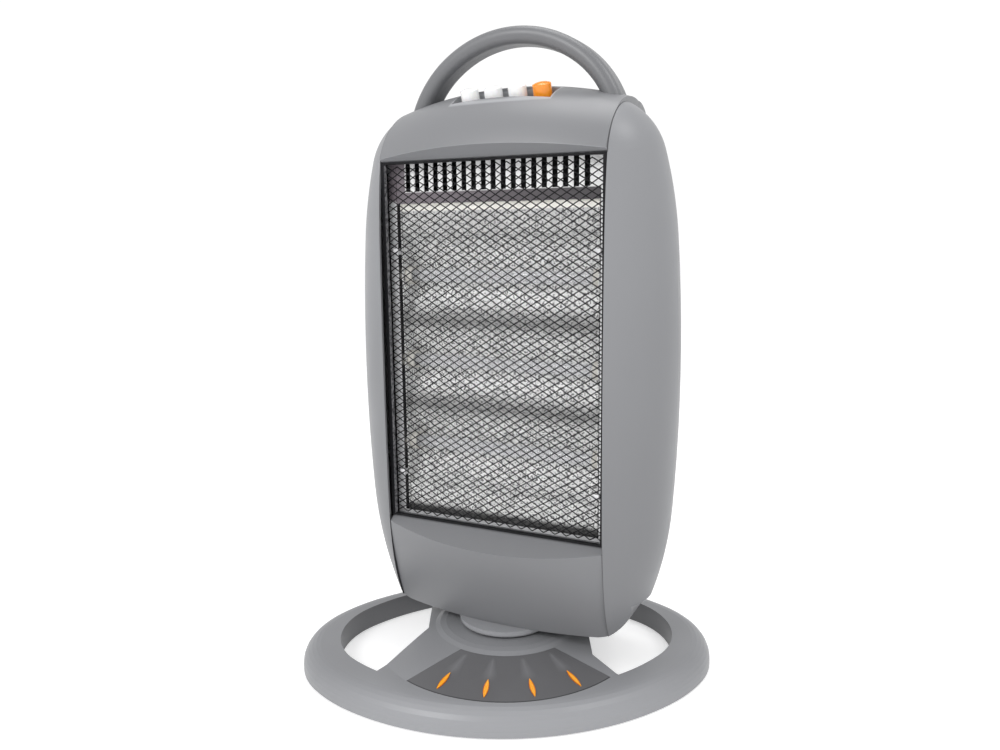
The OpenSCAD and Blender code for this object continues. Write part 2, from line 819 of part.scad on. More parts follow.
// The buttons' frame: origin on the dome between the buttons, +Z out of the top, -Y towards the front
button_y = 3;
button_z = dome_z + sqrt(dome_r * dome_r - (button_y - dome_y) * (button_y - dome_y));
module on_tray(x = row_x) {
  translate([x, button_y, button_z]) rotate([button_tilt, 0, 0]) children();
}

tray_half = 1.5 * button_step + button_w / 2 + 4;
tray_front = 14;
tray_back = 12;
tray_floor_t = 2.2;
button_play = 0.35;
button_x = [for (k = [-1.5:1:1.5]) k * button_step];

// Outline of a button, t larger all round
module button_plan(t) {
  r = button_d / 2 + t;
  for (s = [-1, 1]) translate([s * (button_w - button_d) / 2, 0]) circle(r);
  square([button_w - button_d, 2 * r], center = true);
}

stand_x = 78;
stand_y = 22;

module top_cover() {
  color(body_grey) on_head() difference() {
    union() {
      difference() {
        top_form(0);
        top_form_inside();
      }
      intersection() {
        top_form(0);
        on_tray() box([-tray_half - wall, -tray_front - wall, -tray_deep - tray_floor_t],
          [tray_half + wall, tray_back + wall, 20]);
      }
      intersection() {
        top_form(0);
        for (s = [-1, 1]) translate([s * stand_x, stand_y, case_top + touch]) cylinder(r = 4, h = 90);
      }
    }
    on_tray() {
      box([-tray_half, -tray_front, -tray_deep], [tray_half, tray_back, 30]);
      for (x = button_x) translate([x, 0, -tray_deep - 10]) linear_extrude(20) button_plan(button_play);
    }
    for (s = [-1, 1]) translate([s * stand_x, stand_y, case_top - eps]) cylinder(r = tap_r, h = 12);
    grip_sides(-seam_gap / 2, leg_low - 20);
  }
}

module top_form_inside() {
  intersection() {
    drum(dome_y, dome_z, dome_r, 0, 360, wall);
    above_window(wall, lip_back, skirt_drop + eps);
    box([-big, -big, 0], [big, split_y + eps, big]);
  }
}

// Shell of the right side panel, with bosses for its screws
panel_screw_z = [180, 400];
panel_screw_y = 12;
module side_panel() {
  difference() {
    union() {
      difference() {
        intersection() {
          side_form(0);
          box([seam_x, -big, 0], [big, big, big]);
        }
        side_form(wall);
      }
      intersection() {
        side_form(wall / 2);
        for (z = panel_screw_z) translate([case_half + touch, panel_screw_y, z]) rotate([0, 90, 0])
          cylinder(r = 4.5, h = 60);
      }
    }
    for (z = panel_screw_z) translate([case_half - eps, panel_screw_y, z]) rotate([0, 90, 0])
      cylinder(r = tap_r, h = 14);
  }
}

module left_panel() {
  color(body_grey) on_head() mirror([1, 0, 0]) side_panel();
}

module right_panel() {
  color(body_grey) on_head() side_panel();
}

module top_cover_screws() {
  color([0.7, 0.7, 0.72]) on_head() for (s = [-1, 1]) translate([s * stand_x, stand_y, case_top - sheet])
    screw(head_r, head_h, shank_r, sheet + tap_deep);
}

module panel_screws() {
  color([0.7, 0.7, 0.72]) on_head() for (s = [0, 1]) mirror([s, 0, 0]) for (z = panel_screw_z)
    translate([case_half - sheet, panel_screw_y, z]) rotate([0, 90, 0])
      screw(head_r, low_head_h, shank_r, sheet + tap_deep + 2);
}

rear_screw_x = 80;
rear_screw_z = [150, 430];
rear_seat = 6;
vent_rows = 9;
vent_pitch = 10;
vent_half = 58;
vent_gap = 4.2;
gland_x = 0;
gland_z = 78;
gland_r = 7;

function crown_y(x) = rear_y - crown_r + sqrt(crown_r * crown_r - x * x);

module rear_cover() {
  color(body_grey) on_head() difference() {
    union() {
      difference() {
        rear_form(0);
        rear_form(wall);
      }
      for (s = [-1, 1], z = rear_screw_z) translate([s * rear_screw_x, case_back + sheet + touch, z])
        rotate([-90, 0, 0]) cylinder(r = 5, h = crown_y(rear_screw_x) - wall / 2 - case_back - sheet - touch);
    }
    for (s = [-1, 1], z = rear_screw_z) translate([s * rear_screw_x, 0, z]) rotate([-90, 0, 0]) {
      cylinder(r = free_r, h = big);
      translate([0, 0, crown_y(rear_screw_x) - rear_seat]) cylinder(r = 3.4, h = 30);
    }
    for (z0 = [176, 330]) for (k = [0:vent_rows - 1])
      box([-vent_half, split_y, z0 + k * vent_pitch], [vent_half, big, z0 + k * vent_pitch + vent_gap]);
    translate([gland_x, split_y, gland_z]) rotate([-90, 0, 0]) cylinder(r = gland_r, h = 60);
  }
}

module rear_screws() {
  color([0.7, 0.7, 0.72]) on_head() for (s = [-1, 1], z = rear_screw_z)
    translate([s * rear_screw_x, crown_y(rear_screw_x) - rear_seat, z]) rotate([90, 0, 0])
      screw(head_r, head_h, shank_r, crown_y(rear_screw_x) - rear_seat - case_back + 1);
}

module cord_gland() {
  y0 = crown_y(gland_x);
  color([0.09, 0.09, 0.1]) on_head() translate([gland_x, 0, gland_z]) rotate([-90, 0, 0]) difference() {
    union() {
      translate([0, 0, y0 - wall - 3.2]) cylinder(r = gland_r + 2, h = 3);
      translate([0, 0, y0 - wall - 1]) cylinder(r = gland_r - 0.1, h = wall + 2);
      translate([0, 0, y0 + 0.02]) cylinder(r = gland_r + 1.5, h = 2);
      translate([0, 0, y0 + 1]) cylinder(r1 = gland_r - 1, r2 = 5, h = 12);
    }
    translate([0, 0, y0 - wall - 5]) cylinder(r = 3.4, h = 30);
  }
}

// ---------- handle ----------

// The flat arc ends where its direction is 3 across to 4 up
arc_x = (grip_top_r - grip_side_r) * 0.6;
arc_z = grip_top - grip_top_r + (grip_top_r - grip_side_r) * 0.8;
leg_low = case_top + touch;
grip_wall = 2.6;
grip_seat = 5;
grip_screw_l = 15;

// Stadium section of the grip, its outer side at x = 0, t inside its faces
module grip_section(t) {
  r = grip_t / 2 - t;
  flat = (grip_d - grip_t) / 2;
  translate([-grip_t / 2, 0]) {
    for (s = [-1, 1]) translate([0, s * flat]) circle(r);
    square([2 * r, 2 * flat], center = true);
  }
}

// Shoulders of the handle, down to the direction 117 across to 44 up, with a stub into the head
module grip_sides(t, low) {
  for (m = [0, 1]) mirror([m, 0, 0]) {
    translate([0, grip_y, 0]) rotate([90, 0, 0])
      arc_piece([arc_x, arc_z, 0], grip_side_r, [0.936, 0.352], [0.6, 0.8]) grip_section(t);
    translate([arc_x + 0.936 * grip_side_r - 0.4, grip_y, low])
      linear_extrude(arc_z + 0.352 * grip_side_r - 1.5 - low) grip_section(t + 0.8);
  }
}

module grip_form(t, low) {
  grip_sides(t, low);
  translate([0, grip_y, 0]) rotate([90, 0, 0])
    arc_piece([0, grip_top - grip_top_r, 0], grip_top_r, [0.6, 0.8], [-0.6, 0.8]) grip_section(t);
}

module grip_half(back) {
  difference() {
    grip_form(0, leg_low);
    grip_form(grip_wall, leg_low - eps);
    box([-big, back ? -big : grip_y - touch, 0], [big, back ? grip_y + touch : big, big]);
  }
}

function grip_screw_spots() = [for (s = [-1, 0, 1])
  [s * (arc_x + (grip_side_r - grip_t / 2) * cos(32)),
   s == 0 ? grip_top - grip_t / 2 : arc_z + (grip_side_r - grip_t / 2) * sin(32)]];

module handle_front() {
  color(body_grey) on_head() {
    grip_half(false);
    for (p = grip_screw_spots()) translate([p[0], grip_y - grip_d / 2 + grip_wall / 2, p[1]])
      rotate([-90, 0, 0]) tube(head_r + 0.6, tap_r, grip_d / 2 - grip_wall / 2 - touch);
  }
}

module handle_rear() {
  color(body_grey) on_head() difference() {
    union() {
      grip_half(true);
      for (p = grip_screw_spots()) translate([p[0], grip_y + touch, p[1]])
        rotate([-90, 0, 0]) cylinder(r = 4.6, h = grip_d / 2 - grip_wall / 2);
    }
    for (p = grip_screw_spots()) translate([p[0], grip_y, p[1]]) rotate([-90, 0, 0]) {
      translate([0, 0, -eps]) cylinder(r = free_r, h = 30);
      translate([0, 0, grip_seat]) cylinder(r = head_r + 0.3, h = 30);
    }
  }
}

module handle_screws() {
  color([0.7, 0.7, 0.72]) on_head() for (p = grip_screw_spots())
    translate([p[0], grip_y + grip_seat, p[1]]) rotate([90, 0, 0])
      screw(head_r, head_h, shank_r, grip_screw_l);
}

// ---------- buttons and switches ----------

stem_r = 2.6;
cap_low = -tray_deep - tray_floor_t - 1;
bank_top = cap_low - button_travel - 1.5;
bank_h = 13;
bank_half = tray_half - 2;
bank_d = 22;

module button(k) {
  on_head() on_tray() translate([button_x[k], 0, 0]) {
    intersection() {
      translate([0, 0, cap_low]) linear_extrude(button_rise - cap_low) button_plan(0);
      translate([0, 0, button_rise - 18]) sphere(18);
    }
    intersection() {
      translate([0, 0, cap_low]) linear_extrude(-cap_low - 4) button_plan(0);
      box([-20, -20, cap_low], [20, 20, -4]);
    }
    translate([0, 0, bank_top - 4]) cylinder(r = stem_r, h = cap_low - bank_top + 5);
  }
}

module heat_button_1() {
  color([0.96, 0.96, 0.95]) button(0);
}

module heat_button_2() {
  color([0.96, 0.96, 0.95]) button(1);
}

module heat_button_3() {
  color([0.96, 0.96, 0.95]) button(2);
}

module swing_button() {
  color([0.95, 0.5, 0.08]) button(3);
}

module switch_bank() {
  color([0.13, 0.13, 0.14]) on_head() on_tray() difference() {
    box([-bank_half, -bank_d / 2, bank_top - bank_h], [bank_half, bank_d / 2, bank_top]);
    for (x = button_x) translate([x, 0, bank_top - 4 - button_travel - 0.5])
      cylinder(r = stem_r + 0.3, h = 20);
  }
}

// The bank sits in a folded bracket that stands on the case
module switch_bracket() {
  color([0.74, 0.75, 0.76]) on_head() {
    on_tray() {
      box([-bank_half, -bank_d / 2, bank_top - bank_h - sheet], [bank_half, bank_d / 2, bank_top - bank_h]);
    }
    translate([row_x, 0, 0]) for (s = [0, 1]) mirror([s, 0, 0]) {
      intersection() {
        box([bank_half - 12, -20, case_top], [bank_half - 12 + sheet, 30, 600]);
        on_tray(0) box([0, -bank_d / 2, -200], [200, bank_d / 2, bank_top - bank_h - sheet / 2]);
      }
      box([bank_half - 12, bracket_foot_y - 10, case_top],
        [bank_half, bracket_foot_y + 10, case_top + sheet]);
    }
  }
}
bracket_foot_y = button_y + 14;

// ---------- guard ----------

guard_half = cover_half;
guard_low = win_low + seam_gap;
guard_high = win_high - seam_gap;
guard_t = 4;
guard_back = -mesh_y + 1.5;

mesh_lap = 1.3;
mesh_border = 0.3;

module guard_plate_plan(in_x, in_z) {
  translate([-guard_half + in_x, guard_low + in_z])
    square([2 * (guard_half - in_x), guard_high - guard_low - 2 * in_z]);
}

module guard_frame() {
  color([0.08, 0.08, 0.085]) on_head() translate([0, guard_back, 0]) rotate([90, 0, 0])
    linear_extrude(guard_t) difference() {
      guard_plate_plan(0, 0);
      guard_plate_plan(frame_w, frame_edge);
    }
}

mesh_w = 2 * (guard_half - frame_w + mesh_lap - mesh_border);
mesh_h = guard_high - guard_low - 2 * (frame_edge - mesh_lap + mesh_border);
mesh_sheet = 1.2;

// Diamond lattice: whole diamonds on a grid, and a second grid half a step away
module mesh_holes() {
  px = mesh_w / mesh_cols;
  pz = mesh_h / mesh_rows;
  lean = atan2(pz, px);
  hx = px / 2 - wire / 2 / sin(lean);
  hz = pz / 2 - wire / 2 / cos(lean);
  module hole() {
    polygon([[-hx, 0], [0, -hz], [hx, 0], [0, hz]]);
  }
  for (i = [0:mesh_cols - 1], j = [0:mesh_rows - 1])
    translate([(i + 0.5) * px, (j + 0.5) * pz]) hole();
  for (i = [1:mesh_cols - 1], j = [1:mesh_rows - 1])
    translate([i * px, j * pz]) hole();
}

module guard_mesh() {
  color([0.08, 0.08, 0.085]) on_head() translate([0, guard_back + mesh_sheet + touch, 0])
    rotate([90, 0, 0]) linear_extrude(mesh_sheet) difference() {
      guard_plate_plan(frame_w - mesh_lap, frame_edge - mesh_lap);
      translate([-mesh_w / 2, guard_low + frame_edge - mesh_lap + mesh_border]) mesh_holes();
    }
}

clip_z = [173, 376];
clip_half = 2.6;

module guard_clips() {
  y0 = guard_back + mesh_sheet + 2 * touch;
  color([0.75, 0.76, 0.77]) on_head() for (s = [-1, 1], z = clip_z) translate([s * (flange_in - 1), y0, z]) {
    box([-clip_half, 0, -clip_half], [clip_half, flange_y - y0 - touch, clip_half]);
  }
}

// ---------- heating chamber ----------

vent_low = trough_low + lamps * trough_h + 26;
flange_in = case_half - 3;
flange_rise = 3;
slot_rise = 9;

module inner_case() {
  color([0.8, 0.805, 0.81]) on_head() difference() {
    union() {
      difference() {
        box([-case_half, flange_y, case_low], [case_half, case_back + sheet, case_top]);
        box([-case_half + sheet, flange_y - eps, case_low + sheet],
          [case_half - sheet, case_back, case_top - sheet]);
      }
      for (s = [0, 1]) mirror([s, 0, 0]) {
        box([flange_in, flange_y, case_low], [seam_x - 1, flange_y + sheet, win_high - skirt_drop - touch]);
        box([flange_in, flange_y, case_low], [cover_half - wall - 0.2, flange_y + sheet, win_high]);
      }
      box([-case_half, flange_y, case_low], [case_half, flange_y + sheet, case_low + flange_rise]);
    }
    for (s = [-1, 1]) {
      for (z = lamp_z) translate([s * case_half, lamp_y, z]) rotate([0, 90, 0])
        cylinder(r = cap_r + 0.1, h = 10, center = true);
      for (z = panel_screw_z) translate([s * case_half, panel_screw_y, z]) rotate([0, 90, 0])
        cylinder(r = free_r, h = 10, center = true);
      for (z = rear_screw_z) translate([s * rear_screw_x, case_back, z]) rotate([90, 0, 0])
        cylinder(r = tap_r, h = 10, center = true);
      translate([s * stand_x, stand_y, case_top]) cylinder(r = free_r, h = 10, center = true);
    }
    for (x = [-60:30:60]) translate([x, case_back, 0]) for (z = [180:30:400])
      translate([0, 0, z]) rotate([90, 0, 0]) cylinder(r = 4, h = 10, center = true);
  }
}

module vent_plate() {
  step = (2 * case_half - 21) / vent_slots;
  color([0.86, 0.865, 0.87]) on_head() difference() {
    union() {
      box([-case_half + sheet + 0.2, flange_y + sheet, vent_low],
        [case_half - sheet - 0.2, flange_y + 2 * sheet, case_top - sheet - 0.2]);
      box([-case_half + sheet + 0.2, flange_y + sheet, vent_low - sheet],
        [case_half - sheet - 0.2, flange_y + 14, vent_low]);
    }
    for (k = [0:vent_slots - 1]) translate([(k - (vent_slots - 1) / 2) * step, 0, 0])
      box([-vent_slot_w / 2, -big, vent_low + slot_rise], [vent_slot_w / 2, flange_y + 4, win_high - 0.5]);
  }
}

arc_r = (trough_h * trough_h / 4 + trough_d * trough_d) / (2 * trough_d);
ridge_y = -12;
lamp_y = -3;
lamp_z = [for (k = [0:lamps - 1]) trough_low + (k + 0.5) * trough_h];
reflector_half = case_half - 5;
cheek_play = 0.3;
reflector_t = 0.8;
reflector_high = trough_low + lamps * trough_h;
lip_high = vent_low - sheet - reflector_t - touch;
lip_low = case_low + sheet + touch;

// Reflector in side view, as (y, z): troughs between ridges, with a flat and a lip at each end.
// A cheek closes it at the left and right, with holes for the lamp caps.
module trough_plan(t) {
  for (z = lamp_z) intersection() {
    translate([ridge_y + trough_d - arc_r, z]) circle(arc_r + t, $fn = 144);
    translate([ridge_y, z - trough_h / 2]) square([trough_d + 5, trough_h]);
  }
}

module reflector() {
  color([0.9, 0.9, 0.91]) on_head() rotate([90, 0, 90]) translate([0, 0, -reflector_half])
    linear_extrude(2 * reflector_half) {
      difference() {
        trough_plan(reflector_t);
        trough_plan(0);
      }
      translate([ridge_y, reflector_high]) square([reflector_t, lip_high - reflector_high]);
      translate([ridge_y - 2, lip_high]) square([8, reflector_t]);
      translate([ridge_y, lip_low]) square([reflector_t, trough_low - lip_low]);
      translate([ridge_y - 2, lip_low]) square([22, reflector_t]);
    }
  color([0.9, 0.9, 0.91]) on_head() for (s = [0, 1]) mirror([s, 0, 0]) difference() {
    box([reflector_half - reflector_t, ridge_y - 2, lip_low],
      [reflector_half, ridge_y + trough_d + 1, lip_high + reflector_t]);
    for (z = lamp_z) translate([reflector_half, lamp_y, z]) rotate([0, 90, 0])
      cylinder(r = cap_r + cheek_play, h = 4, center = true);
  }
}

module lamp_tubes() {
  color([0.9, 0.93, 0.95, 0.6]) on_head() for (z = lamp_z) translate([-lamp_half, lamp_y, z])
    rotate([0, 90, 0]) tube(lamp_r, lamp_r - lamp_wall, 2 * lamp_half);
}

filament_r = 1.3;

module filaments() {
  color([0.5, 0.48, 0.46]) on_head() for (z = lamp_z) translate([-lamp_half, lamp_y, z])
    rotate([0, 90, 0]) cylinder(r = filament_r, h = 2 * lamp_half);
}

cap_r = 8;
cap_len = 15;
cap_in = 9;

module lamp_caps() {
  color([0.93, 0.92, 0.88]) on_head() for (z = lamp_z, s = [0, 1]) mirror([s, 0, 0])
    translate([lamp_half - cap_in, lamp_y, z]) rotate([0, 90, 0]) difference() {
      cylinder(r = cap_r, h = cap_len);
      translate([0, 0, -eps]) cylinder(r = lamp_r + touch, h = cap_in + eps);
    }
}

module lamp_brackets() {
  color([0.72, 0.73, 0.74]) on_head() for (s = [0, 1]) mirror([s, 0, 0]) difference() {
    box([case_half, lamp_y - 12, lamp_z[0] - 14], [case_half + sheet, lamp_y + 12, lamp_z[lamps - 1] + 14]);
    for (z = lamp_z) translate([case_half, lamp_y, z]) rotate([0, 90, 0])
      cylinder(r = cap_r + 0.1, h = 10, center = true);
  }
}

module thermal_cutout() {
  color([0.25, 0.25, 0.26]) on_head() translate([-60, 2, case_top]) {
    cylinder(r = 8, h = 6);
    translate([-12, -4, 0]) cube([24, 8, 1]);
  }
}

module terminal_block() {
  color([0.9, 0.89, 0.85]) on_head() translate([64, 24, floor_top]) {
    difference() {
      cube([30, 15, 13]);
      for (x = [5:10:25]) translate([x, 7.5, 7]) cylinder(r = 2.4, h = 10);
    }
  }
}

// ---------- what is drawn ----------

base_shell();
base_plate();
base_inlay();
ray_marks();
rubber_feet();
base_screws();
hub_bush();
swing_post();
post_screws();
swing_lever();
lever_screw();
tip_switch();
tip_plunger();
swivel_collar();
retaining_ring();
ring_screws();
collar_screws();
head_floor();
lower_cover();
lower_cover_screws();
top_cover();
top_cover_screws();
left_panel();
right_panel();
panel_screws();
rear_cover();
rear_screws();
handle_front();
handle_rear();
handle_screws();
heat_button_1();
heat_button_2();
heat_button_3();
swing_button();
switch_bank();
switch_bracket();
guard_frame();
guard_mesh();
guard_clips();
inner_case();
vent_plate();
reflector();
lamp_tubes();
filaments();
lamp_caps();
lamp_brackets();
thermal_cutout();
terminal_block();
motor_bracket();
swing_motor();
motor_screws();
crank();
cord_gland();
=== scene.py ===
# Halogen heater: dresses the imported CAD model. Lengths are in metres, in the row frame.
import bpy
import math
from mathutils import Matrix, Vector


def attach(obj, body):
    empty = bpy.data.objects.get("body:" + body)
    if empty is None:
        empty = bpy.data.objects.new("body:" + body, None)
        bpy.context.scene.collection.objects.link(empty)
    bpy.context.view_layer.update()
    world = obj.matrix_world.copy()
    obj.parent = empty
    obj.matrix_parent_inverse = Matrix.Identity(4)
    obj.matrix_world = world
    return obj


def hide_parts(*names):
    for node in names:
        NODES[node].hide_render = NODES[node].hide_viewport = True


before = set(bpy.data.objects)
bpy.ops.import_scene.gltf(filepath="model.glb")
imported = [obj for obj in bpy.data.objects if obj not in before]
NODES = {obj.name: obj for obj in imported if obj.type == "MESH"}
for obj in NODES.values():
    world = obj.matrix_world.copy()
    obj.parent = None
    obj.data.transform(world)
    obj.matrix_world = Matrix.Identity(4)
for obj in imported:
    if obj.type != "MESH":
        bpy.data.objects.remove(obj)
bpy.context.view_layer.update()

MM = 0.001

# The head stands turned about the vertical. Places on it are given in its own axes:
# x across, -y to its front and z up.
HEAD_TURN = math.radians(-27.0)
HEAD = Matrix.Rotation(HEAD_TURN, 4, "Z")

SEAM_X = 104.35 * MM  # middle of the gap between the covers and a side panel
SEAM_REACH = 0.7 * MM
WINDOW_LOW = 132 * MM
WINDOW_HIGH = 451.5 * MM

# The button tray in the top cover, which leans back, and the sloping lip below it; both carry
# painted light
TRAY_X, TRAY_HALF = 3 * MM, 46.5 * MM
TRAY_LOW, TRAY_BACK, TRAY_TOP = 497 * MM, 20 * MM, 504.5 * MM
TRAY_SLOPE = 0.364
LIP_SLOPE, LIP_LEVEL, LIP_REACH = 0.57, 438.75 * MM, 0.9 * MM

# Guard: woven wires, a whole number of diamonds over the window's width and height
GUARD_HALF, GUARD_LOW, GUARD_HIGH, GUARD_Y = 102.2 * MM, 132.9 * MM, 452.1 * MM, -22.75 * MM
MESH_LEFT, MESH_FOOT, MESH_WIDTH, MESH_HEIGHT = -101 * MM, 135.5 * MM, 202 * MM, 314 * MM
MESH_COLUMNS, MESH_ROWS = 19, 48
WIRE_R, WEAVE = 0.48 * MM, 0.25 * MM

# Lamps, one to each trough of the reflector, with ridges between the troughs
LAMPS = 3
TROUGH_FOOT, TROUGH_PITCH, LAMP_Y = 161 * MM, 77.3 * MM, -3 * MM
COIL_HALF, COIL_R, COIL_PITCH, COIL_WIRE_R = 95.5 * MM, 1.15 * MM, 1.6 * MM, 0.22 * MM
# heights of the reflector's painted shade and of its painted highlight strip
RIDGES, RIDGE_REACH = (238.3 * MM, 315.6 * MM), 14 * MM
REFLECTOR_FOOT, REFLECTOR_BROW, REFLECTOR_STRIP = 138.5 * MM, 391 * MM, 410.5 * MM

# Sheets round the heating chamber, with the bounds of the painted shade inside them
DUCT_LOW, DUCT_FRONT, CASE_INSIDE = 418 * MM, -15.8 * MM, 98.1 * MM
SLOTS_LOW, SLOTS_LEFT = 426.8 * MM, -87.6 * MM

# Base: four rays on the inlay, each with a leaf-shaped mark at its outer end
RAY_STEP = math.radians(20.7)
RAYS_HALF = math.radians(41.5)
MARK_R, MARK_LEN, MARK_W = 105 * MM, 21 * MM, 4.6 * MM
INLAY_R = 117.8 * MM


def srgb(r, g, b):
    def lin(c):
        c /= 255.0
        return c / 12.92 if c <= 0.04045 else ((c + 0.055) / 1.055) ** 2.4
    return (lin(r), lin(g), lin(b), 1.0)


def grey(value):
    return (value, value, value, 1.0)


def scaled(color, k):
    return (color[0] * k, color[1] * k, color[2] * k, 1.0)


# ---------- camera ----------

def make_camera():
    pitch, yaw, roll = 0.171, -0.011, -0.012
    place = Vector((-11.47, -746.7, 396.1)) * MM
    level = Vector((math.cos(yaw), math.sin(yaw), 0.0))
    ahead = Vector((-math.sin(yaw) * math.cos(pitch), math.cos(yaw) * math.cos(pitch),
                    -math.sin(pitch)))
    upright = level.cross(ahead)
    right = level * math.cos(roll) + upright * math.sin(roll)
    up = upright * math.cos(roll) - level * math.sin(roll)
    cam = bpy.data.cameras.new("camera")
    cam.sensor_width = 36.0
    cam.sensor_fit = "HORIZONTAL"
    cam.lens = 30.74
    cam.clip_start = 0.02
    cam.clip_end = 60.0
    obj = bpy.data.objects.new("camera", cam)
    bpy.context.scene.collection.objects.link(obj)
    m = Matrix.Identity(4)
    for i in range(3):
        m[i][0], m[i][1], m[i][2] = right[i], up[i], -ahead[i]
    m.translation = place
    obj.matrix_world = m
    bpy.context.scene.camera = obj


# ---------- node helpers ----------

class Mat:
    """A Principled material with a few shorthand calls for its node tree."""

    def __init__(self, name, color, rough, metal=0.0, spec=0.5):
        self.m = bpy.data.materials.new(name)
        self.m.use_nodes = True
        self.t = self.m.node_tree
        self.b = self.t.nodes["Principled BSDF"]
        self.set({"Base Color": color, "Roughness": rough, "Metallic": metal,
                  "Specular IOR Level": spec})
        self.m.diffuse_color = color
        places = self.add("ShaderNodeTexCoord").outputs
        self.coords = places["Object"]
        self.normals = places["Normal"]

    def set(self, values):
        """Sets constants on the shader's own sockets."""
        for socket, value in values.items():
            self.b.inputs[socket].default_value = value

    def color(self, c):
        self.link(c, self.b.inputs["Base Color"])

    def add(self, kind, **values):
        n = self.t.nodes.new(kind)
        for k, v in values.items():
            setattr(n, k, v)
        return n

    def link(self, a, b):
        self.t.links.new(a, b)

    def put(self, socket, value):
        """Feeds a socket from another node's output, or sets a constant on it."""
        if isinstance(value, bpy.types.NodeSocket):
            self.link(value, socket)
        else:
            socket.default_value = value

    # sums

    def math(self, op, a, b=None, clamp=False):
        n = self.add("ShaderNodeMath", operation=op)
        n.use_clamp = clamp
        self.put(n.inputs[0], a)
        if b is not None:
            self.put(n.inputs[1], b)
        return n.outputs[0]

    def times(self, *values):
        product = values[0]
        for v in values[1:]:
            product = self.math("MULTIPLY", product, v)
        return product

    def invert(self, value):
        return self.math("SUBTRACT", 1.0, value)

    def abs(self, value):
        return self.math("ABSOLUTE", value)

    def mix(self, fac, a, b):
        n = self.add("ShaderNodeMix", data_type="RGBA")
        # the node keeps its colour sockets behind those of its other data types
        for socket, v in ((n.inputs[0], fac), (n.inputs[6], a), (n.inputs[7], b)):
            self.put(socket, v)
        return n.outputs[2]

    # masks, from 0 to 1

    def above(self, value, edge, blur):
        """0 up to edge, rising smoothly to 1 over the distance blur."""
        n = self.add("ShaderNodeMapRange", interpolation_type="SMOOTHSTEP")
        self.link(value, n.inputs["Value"])
        n.inputs["From Min"].default_value = edge
        n.inputs["From Max"].default_value = edge + blur
        return n.outputs["Result"]

    def below(self, value, edge, blur):
        """1 up to edge, falling smoothly to 0 over the distance blur."""
        return self.invert(self.above(value, edge, blur))

    def near(self, value, middle, reach):
        """1 where value is at middle, falling smoothly to 0 at the distance reach."""
        return self.below(self.abs(self.math("SUBTRACT", value, middle)), 0.0, reach)

    # places and directions

    def split(self, vector):
        s = self.add("ShaderNodeSeparateXYZ")
        self.link(vector, s.inputs[0])
        return s.outputs[0], s.outputs[1], s.outputs[2]

    def in_head(self, vector):
        """A vector in the head's own axes, split into x, y and z."""
        n = self.add("ShaderNodeVectorRotate", rotation_type="Z_AXIS")
        self.link(vector, n.inputs["Vector"])
        n.inputs["Angle"].default_value = -HEAD_TURN
        return self.split(n.outputs[0])

    def sideways(self, x):
        """How far the surface faces away from the head's middle plane, from -1 to 1."""
        return self.times(self.in_head(self.normals)[0], self.math("SIGN", x))

    def outward(self):
        """How far the surface faces away from the swivel axis, from -1 to 1."""
        flat = self.add("ShaderNodeVectorMath", operation="MULTIPLY")
        self.link(self.coords, flat.inputs[0])
        flat.inputs[1].default_value = (1.0, 1.0, 0.0)
        unit = self.add("ShaderNodeVectorMath", operation="NORMALIZE")
        self.link(flat.outputs["Vector"], unit.inputs[0])
        dot = self.add("ShaderNodeVectorMath", operation="DOT_PRODUCT")
        self.link(unit.outputs["Vector"], dot.inputs[0])
        self.link(self.normals, dot.inputs[1])
        return dot.outputs["Value"]

    def rays(self):
        """Distance from the swivel axis, angle from the front, and how far beside the
        nearest ray, as a share of the step between rays."""
        x, y, _ = self.split(self.coords)
        angle = self.math("ARCTAN2", x, self.times(y, -1.0))
        turned = self.math("ADD", self.math("DIVIDE", angle, RAY_STEP), 4.0)
        side = self.abs(self.math("SUBTRACT", self.math("FRACT", turned), 0.5))
        radius = self.math("SQRT", self.math("ADD", self.times(x, x), self.times(y, y)))
        return radius, angle, side

    # surface

    def noise(self, scale, detail=4.0, rough=0.5, coords=None):
        n = self.add("ShaderNodeTexNoise")
        n.inputs["Scale"].default_value = scale
        n.inputs["Detail"].default_value = detail
        n.inputs["Roughness"].default_value = rough
        self.link(coords or self.coords, n.inputs["Vector"])
        return n.outputs["Fac"]

    def bump(self, height, strength, distance, after=None):
        n = self.add("ShaderNodeBump")
        n.inputs["Strength"].default_value = strength
        n.inputs["Distance"].default_value = distance
        self.link(height, n.inputs["Height"])
        if after is not None:
            self.link(after, n.inputs["Normal"])
        self.link(n.outputs["Normal"], self.b.inputs["Normal"])
        return n.outputs["Normal"]

    def vary(self, low, high, scale):
        """Base colour that drifts between two colours over the surface."""
        self.color(self.mix(self.noise(scale), low, high))

    def rough_range(self, low, high, scale):
        n = self.add("ShaderNodeMapRange")
        self.link(self.noise(scale), n.inputs["Value"])
        n.inputs["From Min"].default_value = 0.3
        n.inputs["From Max"].default_value = 0.7
        n.inputs["To Min"].default_value = low
        n.inputs["To Max"].default_value = high
        self.link(n.outputs["Result"], self.b.inputs["Roughness"])

    def flow_marks(self, after):
        """Shallow waves that melted plastic leaves behind as it fills a mould."""
        self.bump(self.noise(60.0, detail=3.0), strength=0.12, distance=0.3 * MM, after=after)


# ---------- materials ----------

BODY = srgb(143, 144, 147)
# painted shade for the gaps beside the side panels
SEAM_SHADE_BLACK = (0.02, 0.02, 0.022, 1.0)
ENAMEL = (0.004, 0.004, 0.005, 1.0)
ENAMEL_DARK, ENAMEL_PALE = (0.002, 0.002, 0.003, 1.0), (0.007, 0.007, 0.009, 1.0)
ENAMEL_ROUGH, ENAMEL_SPEC = 0.55, 0.2
# painted shade, laid on the vent and case sheets
DUSK = (0.26, 0.225, 0.25, 1.0)  # violet shade behind the guard's upper left corner


